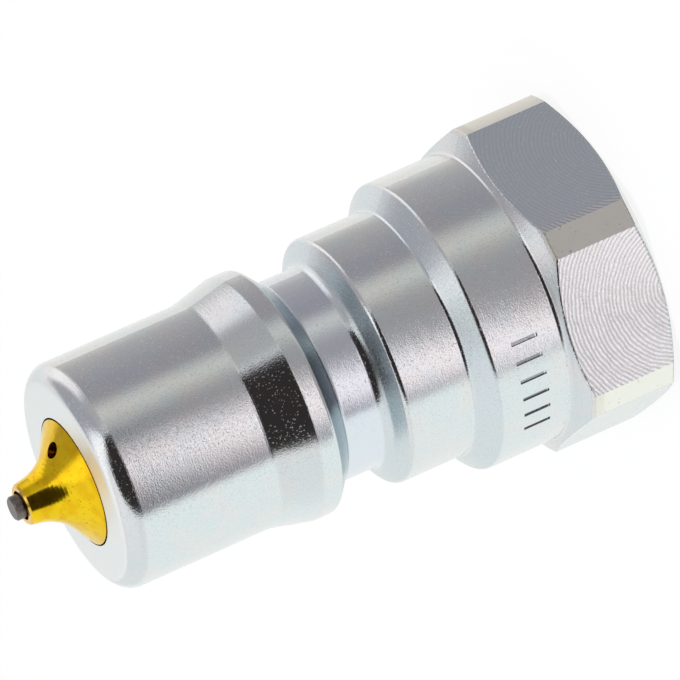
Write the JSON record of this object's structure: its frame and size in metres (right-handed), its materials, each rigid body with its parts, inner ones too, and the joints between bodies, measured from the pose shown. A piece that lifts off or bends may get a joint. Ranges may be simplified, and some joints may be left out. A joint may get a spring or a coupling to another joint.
{
  "type": "quick coupling nipple",
  "caption": "Male half of a poppet quick coupling: turned steel body with hexagon, female thread, locking groove and brass valve head with a pressure relief pilot.",
  "frame": {"origin": "centre of the rear hexagon face, on the coupling's axis", "axes": "+Z along the axis from the hexagon to the nose, flats of the hexagon face +Y and -Y"},
  "size_m": [0.021, 0.019, 0.0391],
  "materials": {
    "zinc_steel": "bright zinc plating over turned and milled steel",
    "brass": "bright turned brass",
    "pin_steel": "ground dark steel",
    "plain_steel": "turned steel",
    "spring_steel": "drawn spring wire",
    "seal_rubber": "matt black nitrile rubber"
  },
  "bodies": {
    "housing": {"nipple_body": "zinc_steel", "valve_guide": "plain_steel", "retaining_ring": "spring_steel", "main_spring": "spring_steel"},
    "poppet": {"poppet_head": "brass", "poppet_seal": "seal_rubber", "poppet_stem": "plain_steel", "pilot_plug": "plain_steel", "pilot_spring": "spring_steel"},
    "pilot": {"pilot_pin": "pin_steel", "pilot_seal": "seal_rubber"}
  },
  "joints": [
    {"name": "poppet_slide", "type": "slide", "parent": "housing", "child": "poppet", "axis": [0, 0, -1], "range_m": [0, 0.0035], "stiffness_N_per_m": 300, "springref_m": -0.01, "deforming": ["main_spring"]},
    {"name": "pilot_slide", "type": "slide", "parent": "poppet", "child": "pilot", "axis": [0, 0, -1], "range_m": [0, 0.0006], "stiffness_N_per_m": 60, "springref_m": -0.003, "deforming": ["pilot_spring"]}
  ]
}
